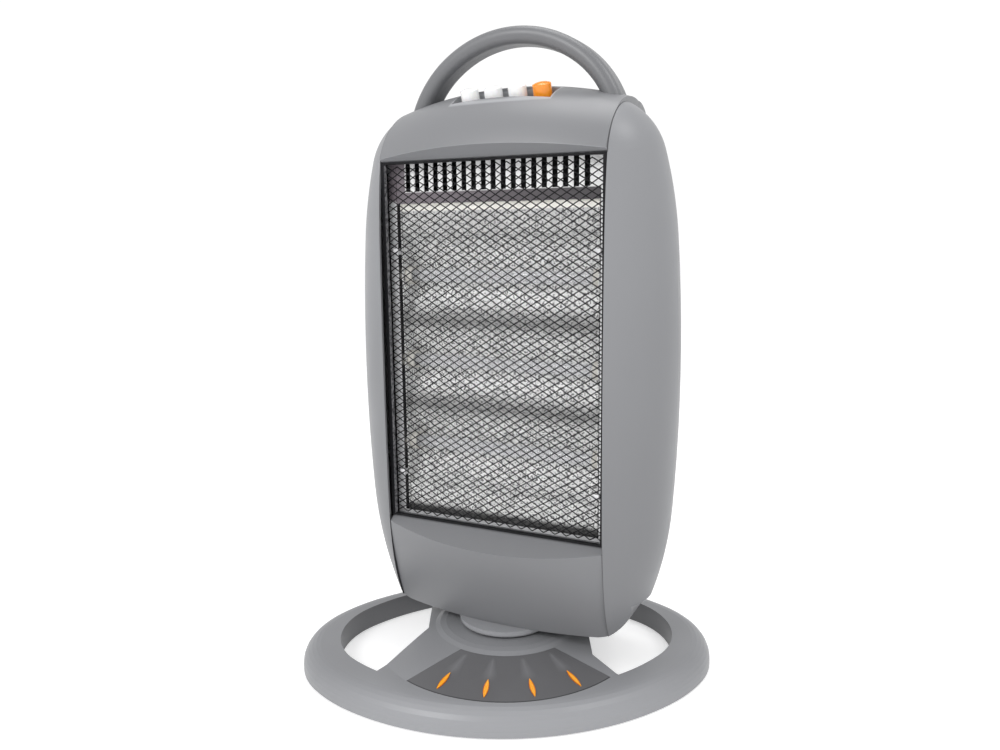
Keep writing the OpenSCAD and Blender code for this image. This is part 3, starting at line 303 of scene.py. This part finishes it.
def moulded(name, color, rough=0.42):
    """Moulded plastic: a fine spark grain, slight flow marks and a faint drift of colour."""
    m = Mat(name, color, rough)
    m.vary(scaled(color, 0.95), scaled(color, 1.05), scale=9.0)
    m.rough_range(rough - 0.05, rough + 0.06, scale=14.0)
    grain = m.bump(m.noise(1500.0, detail=2.0), strength=0.35, distance=0.06 * MM)
    m.flow_marks(grain)
    return m.m


def sheet_metal(name, color, rough=0.34, stretch=(4.0, 90.0, 90.0)):
    """Rolled or plated sheet with a faint grain, drawn out along x unless stretch is even."""
    m = Mat(name, color, rough, metal=1.0)
    n = m.add("ShaderNodeMapping")
    n.inputs["Scale"].default_value = stretch
    m.link(m.coords, n.inputs["Vector"])
    grain = m.noise(9.0, detail=5.0, rough=0.6, coords=n.outputs["Vector"])
    m.color(m.mix(grain, scaled(color, 0.86), scaled(color, 1.06)))
    m.rough_range(rough - 0.06, rough + 0.08, scale=40.0)
    m.bump(grain, strength=0.25, distance=0.08 * MM)
    return m.m


def seam_shade_mask(m, x, z):
    """Painted shade in the gap beside a side panel, but not on a cover's bare side wall or the
    wall by the window.
    """
    bare = m.above(m.sideways(x), 0.8, 0.15)
    window = m.times(m.above(z, WINDOW_LOW, 2 * MM), m.below(z, WINDOW_HIGH, 2 * MM))
    shown = m.math("MAXIMUM", bare, window)
    gap = m.near(m.abs(x), SEAM_X, SEAM_REACH)
    return m.times(gap, m.math("SUBTRACT", 0.9, m.times(shown, 0.9)))


def tray_light_mask(m, x, y, z):
    """The walls and floor of the button tray, which painted light makes paler."""
    across = m.below(m.abs(m.math("SUBTRACT", x, TRAY_X)), TRAY_HALF, 1 * MM)
    level = m.math("ADD", z, m.times(y, -TRAY_SLOPE))
    return m.times(m.above(z, TRAY_LOW, 2 * MM), m.below(y, TRAY_BACK, 3 * MM), across,
                   m.below(level, TRAY_TOP, 1.5 * MM))


def body_material(name, tint, seams=False, tray=False, fade=None, ring=False):
    """Grey moulding of the housing.

    seams paints shade into the head's side seams. tray paints light into the button tray
    and a highlight along the lip above the window, making both paler. fade paints a gradient
    of light and shade: it lists an axis, where the fade starts and ends on it, and the shade
    at each end. ring paints shade on the walls that face the middle of the base.
    """
    color = scaled(BODY, tint)
    m = Mat(name, color, 0.4)
    x, y, z = m.in_head(m.coords)
    drift = m.noise(9.0)

    def shade(k):
        return m.mix(drift, scaled(color, 0.97 * k), scaled(color, 1.03 * k))

    # fade paints a gradient of light and shade along one axis
    if fade is None:
        c = shade(1.0)
    else:
        axis, start, end, at_start, at_end = fade
        along = z if axis == "z" else m.split(m.coords)[1]
        c = m.mix(m.above(along, start, end - start), shade(at_start), shade(at_end))
    m.rough_range(0.35, 0.46, scale=14.0)
    grain = m.bump(m.noise(1400.0, detail=2.0), strength=0.3, distance=0.05 * MM)
    m.flow_marks(grain)
    if ring:
        # painted shade on the walls that face the middle of the base
        inward = m.times(m.outward(), -1.0)
        c = m.mix(m.times(m.above(inward, 0.35, 0.4), 0.6), c, scaled(color, 0.2))
    if seams:
        # painted shade in the side seams
        c = m.mix(seam_shade_mask(m, x, z), c, SEAM_SHADE_BLACK)
    if tray:
        # painted light on the walls and floor of the button tray
        c = m.mix(tray_light_mask(m, x, y, z), c, scaled(color, 1.7))
        # painted highlight along the lip above the window
        lip = m.near(m.math("ADD", z, m.times(y, LIP_SLOPE)), LIP_LEVEL, LIP_REACH)
        c = m.mix(lip, c, scaled(color, 1.26))
    m.color(c)
    return m.m


def inlay_material():
    """Darker moulding with four faint raised rays that fade towards the outside."""
    m = Mat("inlay_plastic", srgb(94, 94, 96), 0.42)
    radius, angle, side = m.rays()
    widening = m.above(radius, 66 * MM, 34 * MM)
    width = m.math("ADD", m.times(widening, 0.16), 0.09)
    core = m.math("SUBTRACT", 1.0, m.math("DIVIDE", side, width), clamp=True)
    within = m.math("LESS_THAN", m.abs(angle), RAYS_HALF)
    fade = m.times(m.above(radius, 68 * MM, 6 * MM), m.below(radius, 86 * MM, 12 * MM))
    ray = m.times(core, fade, within)
    c = m.mix(m.noise(30.0), srgb(89, 89, 91), srgb(97, 97, 99))
    c = m.mix(m.times(ray, 0.36), c, srgb(134, 134, 137))
    # painted shade in the groove round the inlay's outer edge
    edge = m.times(m.above(radius, INLAY_R, 0.8 * MM), 0.75)
    m.color(m.mix(edge, c, srgb(40, 40, 42)))
    m.rough_range(0.36, 0.46, scale=20.0)
    grain = m.bump(m.noise(1500.0, detail=2.0), strength=0.3, distance=0.05 * MM)
    m.bump(ray, strength=0.5, distance=0.6 * MM, after=grain)
    return m.m


def lens_material():
    """Translucent orange lens, with painted shade deepening its colour at the edge of each leaf.
    """
    m = Mat("orange_lens", srgb(247, 150, 22), 0.18)
    radius, _, side = m.rays()
    across = m.times(side, RAY_STEP * MARK_R)
    out = m.math("DIVIDE", m.math("SUBTRACT", radius, MARK_R), MARK_LEN / 2)
    half = m.times(m.invert(m.times(out, out)), MARK_W / 2)
    rim_shade = m.above(m.math("DIVIDE", across, m.math("MAXIMUM", half, 0.1 * MM)), 0.4, 0.6)
    c = m.mix(m.noise(160.0), srgb(247, 150, 20), srgb(255, 186, 58))
    # painted shade deepens the colour towards each leaf's edge
    m.color(m.mix(m.times(rim_shade, 0.8), c, srgb(178, 74, 10)))
    m.set({"Coat Weight": 0.6, "Coat Roughness": 0.08, "Subsurface Weight": 0.25,
           "Subsurface Radius": (0.003, 0.001, 0.0004)})
    m.bump(m.noise(700.0, detail=2.0), strength=0.2, distance=0.05 * MM)
    return m.m


def button_material(name, pale, dark):
    """Glossy button plastic that lets a little light in."""
    m = Mat(name, pale, 0.22)
    m.vary(dark, pale, scale=90.0)
    m.rough_range(0.18, 0.3, scale=60.0)
    m.set({"Coat Weight": 0.4, "Coat Roughness": 0.1, "Subsurface Weight": 0.1,
           "Subsurface Radius": (0.002, 0.0015, 0.001)})
    m.bump(m.noise(900.0, detail=2.0), strength=0.15, distance=0.03 * MM)
    return m.m


def finish_enamel(m):
    m.rough_range(0.48, 0.66, scale=200.0)
    m.bump(m.noise(1200.0, detail=2.0), strength=0.3, distance=0.04 * MM)
    return m.m


def enamel_material():
    """Black baked enamel on wire, with a faint orange peel."""
    m = Mat("black_enamel", ENAMEL, ENAMEL_ROUGH, spec=ENAMEL_SPEC)
    m.vary(ENAMEL_DARK, ENAMEL_PALE, scale=120.0)
    return finish_enamel(m)


def guard_frame_material():
    """The same enamel, with pale speckles painted as light where the bars face the bright window.
    """
    m = Mat("frame_enamel", ENAMEL, ENAMEL_ROUGH, spec=ENAMEL_SPEC)
    x, _, _ = m.in_head(m.coords)
    inward = m.times(m.sideways(x), -1.0)
    black = m.mix(m.noise(120.0), ENAMEL_DARK, ENAMEL_PALE)
    speckle = m.above(m.noise(420.0, detail=3.0), 0.35, 0.3)
    # painted light: pale speckles on the bar sides that face the window
    speckled_light = m.mix(speckle, (0.05, 0.05, 0.055, 1.0), (0.26, 0.26, 0.27, 1.0))
    m.color(m.mix(m.above(inward, 0.5, 0.4), black, speckled_light))
    return finish_enamel(m)


def reflector_material():
    """Bright stucco sheet, speckled with dimples and dark pits. Painted shade lies along each
    ridge and at the bottom edge, painted shade dims it towards the top, and a painted
    highlight strip ends it there."""
    m = Mat("stucco_sheet", grey(0.9), 0.5, metal=0.2)
    _, _, z = m.in_head(m.coords)
    dimples = m.add("ShaderNodeTexVoronoi", feature="SMOOTH_F1")
    dimples.inputs["Scale"].default_value = 420.0
    dimples.inputs["Smoothness"].default_value = 0.7
    m.link(m.coords, dimples.inputs["Vector"])
    coarse = m.noise(150.0, rough=0.62)
    pits = m.below(m.noise(560.0, detail=2.0), 0.39, 0.09)
    # painted shade along each ridge between the troughs and at the bottom edge
    ridge_shade = m.math("MAXIMUM", *(m.near(z, at, RIDGE_REACH) for at in RIDGES))
    foot_shade = m.below(z, REFLECTOR_FOOT, 6 * MM)
    shade = m.math("MAXIMUM", m.times(ridge_shade, 0.42), m.times(foot_shade, 0.92))
    # painted shade dims the top
    brow_shade = m.times(m.above(z, REFLECTOR_BROW, 3 * MM), 0.35)
    # painted highlight on the plain strip at the top
    strip = m.above(z, REFLECTOR_STRIP, 2 * MM)
    c = m.mix(m.above(coarse, 0.3, 0.4), grey(0.76), (1.0, 1.0, 0.99, 1.0))
    c = m.mix(brow_shade, c, grey(0.3))
    c = m.mix(m.times(m.invert(strip), pits), c, grey(0.16))
    c = m.mix(strip, c, (1.0, 0.98, 0.93, 1.0))
    m.color(m.mix(shade, c, grey(0.02)))
    m.rough_range(0.42, 0.58, scale=70.0)
    dimpled = m.bump(dimples.outputs["Distance"], strength=0.85, distance=0.9 * MM)
    m.bump(coarse, strength=0.5, distance=1.2 * MM, after=dimpled)
    return m.m


def vent_material():
    """Bright sheet of the vent strip, with painted shade below the slots and left of them."""
    m = Mat("vent_sheet", grey(0.95), 0.45, metal=0.1)
    x, _, z = m.in_head(m.coords)
    # painted shade below the slots and left of them
    dark = m.math("MAXIMUM", m.below(z, SLOTS_LOW, 1.2 * MM), m.below(x, SLOTS_LEFT, 1 * MM))
    grain = m.noise(140.0)
    bright = m.mix(grain, grey(0.94), grey(1.0))
    dim_shade = m.mix(m.above(x, -90 * MM, 180 * MM), DUSK, (0.075, 0.07, 0.075, 1.0))
    dim_shade = m.mix(m.times(grain, 0.5), dim_shade, (0.12, 0.11, 0.12, 1.0))
    m.color(m.mix(dark, bright, dim_shade))
    m.bump(grain, strength=0.3, distance=0.2 * MM)
    return m.m


def case_material():
    """Plated sheet, bright on its front flange, with painted shade inside, most of all in the
    duct.
    """
    m = Mat("case_sheet", (0.86, 0.86, 0.87, 1.0), 0.4, metal=0.45)
    x, y, z = m.in_head(m.coords)
    inside = m.times(m.above(y, DUCT_FRONT, 0.8 * MM), m.below(m.abs(x), CASE_INSIDE, 0.3 * MM))
    duct = m.times(m.above(z, DUCT_LOW, 1 * MM), inside)
    grain = m.noise(120.0)
    bright = m.mix(grain, (0.8, 0.8, 0.81, 1.0), (0.97, 0.97, 0.98, 1.0))
    # painted violet shade in the upper left of the case, above the duct's floor
    corner = m.times(m.above(z, DUCT_LOW + 0.5 * MM, 2 * MM), m.below(x, -20 * MM, 40 * MM))
    c = m.mix(corner, bright, DUSK)
    # painted shade inside the case, darkest in the duct
    inside_shade = m.math("MAXIMUM", duct, m.times(inside, 0.85))
    m.color(m.mix(inside_shade, c, (0.006, 0.006, 0.007, 1.0)))
    m.rough_range(0.34, 0.5, scale=40.0)
    m.bump(grain, strength=0.3, distance=0.1 * MM)
    return m.m


def quartz_material():
    """Clear lamp tube with a slight waviness."""
    m = Mat("quartz_glass", (0.93, 0.95, 0.97, 1.0), 0.06)
    m.set({"Alpha": 0.2, "Coat Weight": 0.5, "Coat Roughness": 0.03})
    m.vary((0.88, 0.9, 0.93, 1.0), (0.97, 0.98, 1.0, 1.0), scale=45.0)
    m.bump(m.noise(120.0, detail=2.0), strength=0.1, distance=0.2 * MM)
    return m.m


def ceramic_material():
    m = Mat("cap_ceramic", srgb(214, 212, 206), 0.62)
    m.vary(srgb(204, 201, 194), srgb(222, 220, 214), scale=240.0)
    m.bump(m.noise(1100.0, detail=3.0), strength=0.4, distance=0.1 * MM)
    return m.m


def filament_material():
    m = Mat("filament_wire", (0.32, 0.3, 0.29, 1.0), 0.4, metal=1.0)
    m.vary((0.22, 0.21, 0.2, 1.0), (0.42, 0.4, 0.38, 1.0), scale=300.0)
    m.bump(m.noise(2000.0, detail=2.0), strength=0.2, distance=0.03 * MM)
    return m.m


def rubber_material(name, shade):
    m = Mat(name, grey(shade), 0.75, spec=0.3)
    m.vary(grey(shade * 0.8), grey(shade * 1.3), scale=80.0)
    m.bump(m.noise(900.0, detail=3.0), strength=0.5, distance=0.12 * MM)
    return m.m


# ---------- mesh making ----------

def mesh_object(name, verts, faces, smooth=True):
    me = bpy.data.meshes.new(name)
    me.from_pydata(verts, [], faces)
    me.update()
    if smooth:
        me.polygons.foreach_set("use_smooth", [True] * len(me.polygons))
    o = bpy.data.objects.new(name, me)
    bpy.context.scene.collection.objects.link(o)
    return o


def add_tube(verts, faces, path, radius, sides):
    """Adds a closed tube along a path of Vectors."""
    start = len(verts)
    last = len(path) - 1
    for i, p in enumerate(path):
        along = (path[min(i + 1, last)] - path[max(i - 1, 0)]).normalized()
        u = along.cross(Vector((0, 1, 0))).normalized()
        w = along.cross(u)
        for k in range(sides):
            t = 2 * math.pi * k / sides
            verts.append(p + u * (radius * math.cos(t)) + w * (radius * math.sin(t)))
    for i in range(last):
        for k in range(sides):
            a = start + i * sides + k
            b = start + i * sides + (k + 1) % sides
            faces.append((a, b, b + sides, a + sides))
    faces.append(tuple(start + k for k in reversed(range(sides))))
    faces.append(tuple(start + last * sides + k for k in range(sides)))


def guard_wires():
    """Woven diamond mesh: two families of slanted wires that pass over and under each other."""
    half_w = MESH_WIDTH / MESH_COLUMNS / 2
    half_h = MESH_HEIGHT / MESH_ROWS / 2
    rows = int((GUARD_HIGH - GUARD_LOW) / half_h)
    wires = int(2 * GUARD_HALF / half_w + (GUARD_HIGH - GUARD_LOW) / half_h) + 6
    wires += wires % 2
    verts, faces = [], []
    for family in (1, -1):
        for k in range(-wires, wires + 1, 2):
            path = []
            for j in range(-2, rows + 3):
                x = MESH_LEFT + (family * j + k) * half_w
                z = MESH_FOOT + j * half_h
                if -GUARD_HALF <= x <= GUARD_HALF and GUARD_LOW <= z <= GUARD_HIGH:
                    lift = WEAVE if (j % 2 == 0) == (family == 1) else -WEAVE
                    path.append(Vector((x, GUARD_Y + lift, z)))
            if len(path) > 1:
                add_tube(verts, faces, path, WIRE_R, sides=6)
    return mesh_object("guard_wires", [HEAD @ v for v in verts], faces)


def filament_coils():
    """The lamps' coiled wires, along the middle of each tube."""
    steps_per_turn = 9
    steps = int(2 * COIL_HALF / COIL_PITCH) * steps_per_turn
    verts, faces = [], []
    for k in range(LAMPS):
        z = TROUGH_FOOT + (k + 0.5) * TROUGH_PITCH
        path = []
        for i in range(steps + 1):
            t = 2 * math.pi * i / steps_per_turn
            x = -COIL_HALF + 2 * COIL_HALF * i / steps
            path.append(Vector((x, LAMP_Y + COIL_R * math.sin(t), z + COIL_R * math.cos(t))))
        add_tube(verts, faces, path, COIL_WIRE_R, sides=5)
    return mesh_object("filament_coils", [HEAD @ v for v in verts], faces)


# ---------- dressing ----------

def paint(material, *names):
    for n in names:
        o = NODES[n]
        if not o.material_slots:
            o.data.materials.append(material)
        for s in o.material_slots:
            s.material = material


def dress_housing():
    # painted light: the base grows brighter towards its front and the side panels towards the top
    ring_painted_light = ("y", -130 * MM, -50 * MM, 1.16, 0.9)
    panel_painted_light = ("z", 100 * MM, 470 * MM, 0.88, 1.13)
    paint(body_material("base_plastic", 0.87, fade=ring_painted_light, ring=True), "base_shell")
    paint(body_material("body_plastic", 0.67, seams=True), "lower_cover", "rear_cover")
    paint(body_material("top_plastic", 0.67, seams=True, tray=True), "top_cover")
    paint(body_material("panel_plastic", 0.74, seams=True, fade=panel_painted_light),
          "left_panel", "right_panel")
    paint(body_material("handle_plastic", 0.54), "handle_front", "handle_rear")
    paint(body_material("floor_plastic", 0.5), "head_floor")
    paint(inlay_material(), "base_inlay")
    paint(lens_material(), "ray_marks")
    paint(moulded("collar_plastic", srgb(150, 151, 154), 0.25), "swivel_collar")
    paint(button_material("white_button", srgb(250, 250, 249), srgb(240, 240, 240)),
          "heat_button_1", "heat_button_2", "heat_button_3")
    paint(button_material("orange_button", srgb(253, 160, 42), srgb(240, 132, 20)), "swing_button")
    paint(rubber_material("foot_rubber", 0.02), "rubber_feet")
    paint(rubber_material("gland_rubber", 0.015), "cord_gland")


def dress_inside():
    paint(moulded("dark_plastic", srgb(38, 38, 40), 0.5),
          "base_plate", "tip_switch", "switch_bank", "thermal_cutout")
    paint(moulded("bearing_plastic", srgb(226, 226, 220), 0.4), "hub_bush", "crank", "tip_plunger")
    paint(moulded("terminal_plastic", srgb(228, 226, 214), 0.5), "terminal_block")
    paint(sheet_metal("screw_steel", (0.62, 0.62, 0.64, 1.0), 0.3, stretch=(300.0, 300.0, 300.0)),
          "base_screws", "post_screws", "lever_screw", "ring_screws", "collar_screws",
          "lower_cover_screws", "top_cover_screws", "panel_screws", "rear_screws",
          "handle_screws", "motor_screws")
    paint(sheet_metal("plated_steel", (0.7, 0.7, 0.71, 1.0)),
          "swing_post", "swing_lever", "retaining_ring", "switch_bracket", "guard_clips",
          "lamp_brackets", "motor_bracket", "swing_motor")
    paint(case_material(), "inner_case")
    paint(reflector_material(), "reflector")
    paint(vent_material(), "vent_plate")
    paint(quartz_material(), "lamp_tubes")
    paint(ceramic_material(), "lamp_caps")


def dress_wires():
    """Guard and filaments, whose plain CAD stand-ins are replaced by real wires."""
    black = enamel_material()
    paint(black, "guard_mesh")
    paint(guard_frame_material(), "guard_frame")
    wires = guard_wires()
    wires.data.materials.append(black)
    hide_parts("guard_mesh")
    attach(wires, "head")
    wire = filament_material()
    paint(wire, "filaments")
    coils = filament_coils()
    coils.data.materials.append(wire)
    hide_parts("filaments")
    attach(coils, "head")


# ---------- stage and light ----------

def make_floor():
    half = 14
    corners = [(-half, -half, 0), (half, -half, 0), (half, half, 0), (-half, half, 0)]
    floor = mesh_object("floor", corners, [(0, 1, 2, 3)], smooth=False)
    m = Mat("floor_paper", grey(0.72), 0.8, spec=0.1)
    m.vary(grey(0.71), grey(0.73), scale=2.0)
    m.set({"Emission Color": grey(1.0), "Emission Strength": 0.46})
    floor.data.materials.append(m.m)


def make_world():
    """White all round, a little darker overhead."""
    world = bpy.data.worlds.new("world")
    bpy.context.scene.world = world
    world.use_nodes = True
    t = world.node_tree
    back = t.nodes["Background"]
    back.inputs["Strength"].default_value = 1.04
    places = t.nodes.new("ShaderNodeTexCoord")
    split = t.nodes.new("ShaderNodeSeparateXYZ")
    ramp = t.nodes.new("ShaderNodeValToRGB")
    t.links.new(places.outputs["Generated"], split.inputs[0])
    t.links.new(split.outputs[2], ramp.inputs["Fac"])
    low, high = ramp.color_ramp.elements
    low.position, low.color = 0.3, grey(1.0)
    high.position, high.color = 0.85, (0.62, 0.62, 0.63, 1.0)
    t.links.new(ramp.outputs["Color"], back.inputs["Color"])


def add_light(name, at, target, size, power):
    light = bpy.data.lights.new(name, "AREA")
    light.shape = "DISK"
    light.size = size
    light.energy = power
    o = bpy.data.objects.new(name, light)
    o.location = at
    o.rotation_euler = (Vector(target) - Vector(at)).to_track_quat("-Z", "Y").to_euler()
    bpy.context.scene.collection.objects.link(o)


def set_view():
    """Plain view of the colours, as the materials were matched under it."""
    view = bpy.context.scene.view_settings
    view.view_transform = "Standard"
    view.look = "None"
    view.exposure = 0.0
    view.gamma = 1.0


set_view()
make_camera()
make_floor()
make_world()
add_light("key", (-1.1, -1.2, 1.5), (0, 0, 0.3), size=0.9, power=16)
add_light("side", (1.1, -0.6, 1.9), (0, 0, 0.35), size=0.8, power=7)
add_light("top", (0.1, 0.3, 1.9), (0, 0, 0.3), size=1.0, power=8)
dress_housing()
dress_inside()
dress_wires()
bpy.context.view_layer.update()
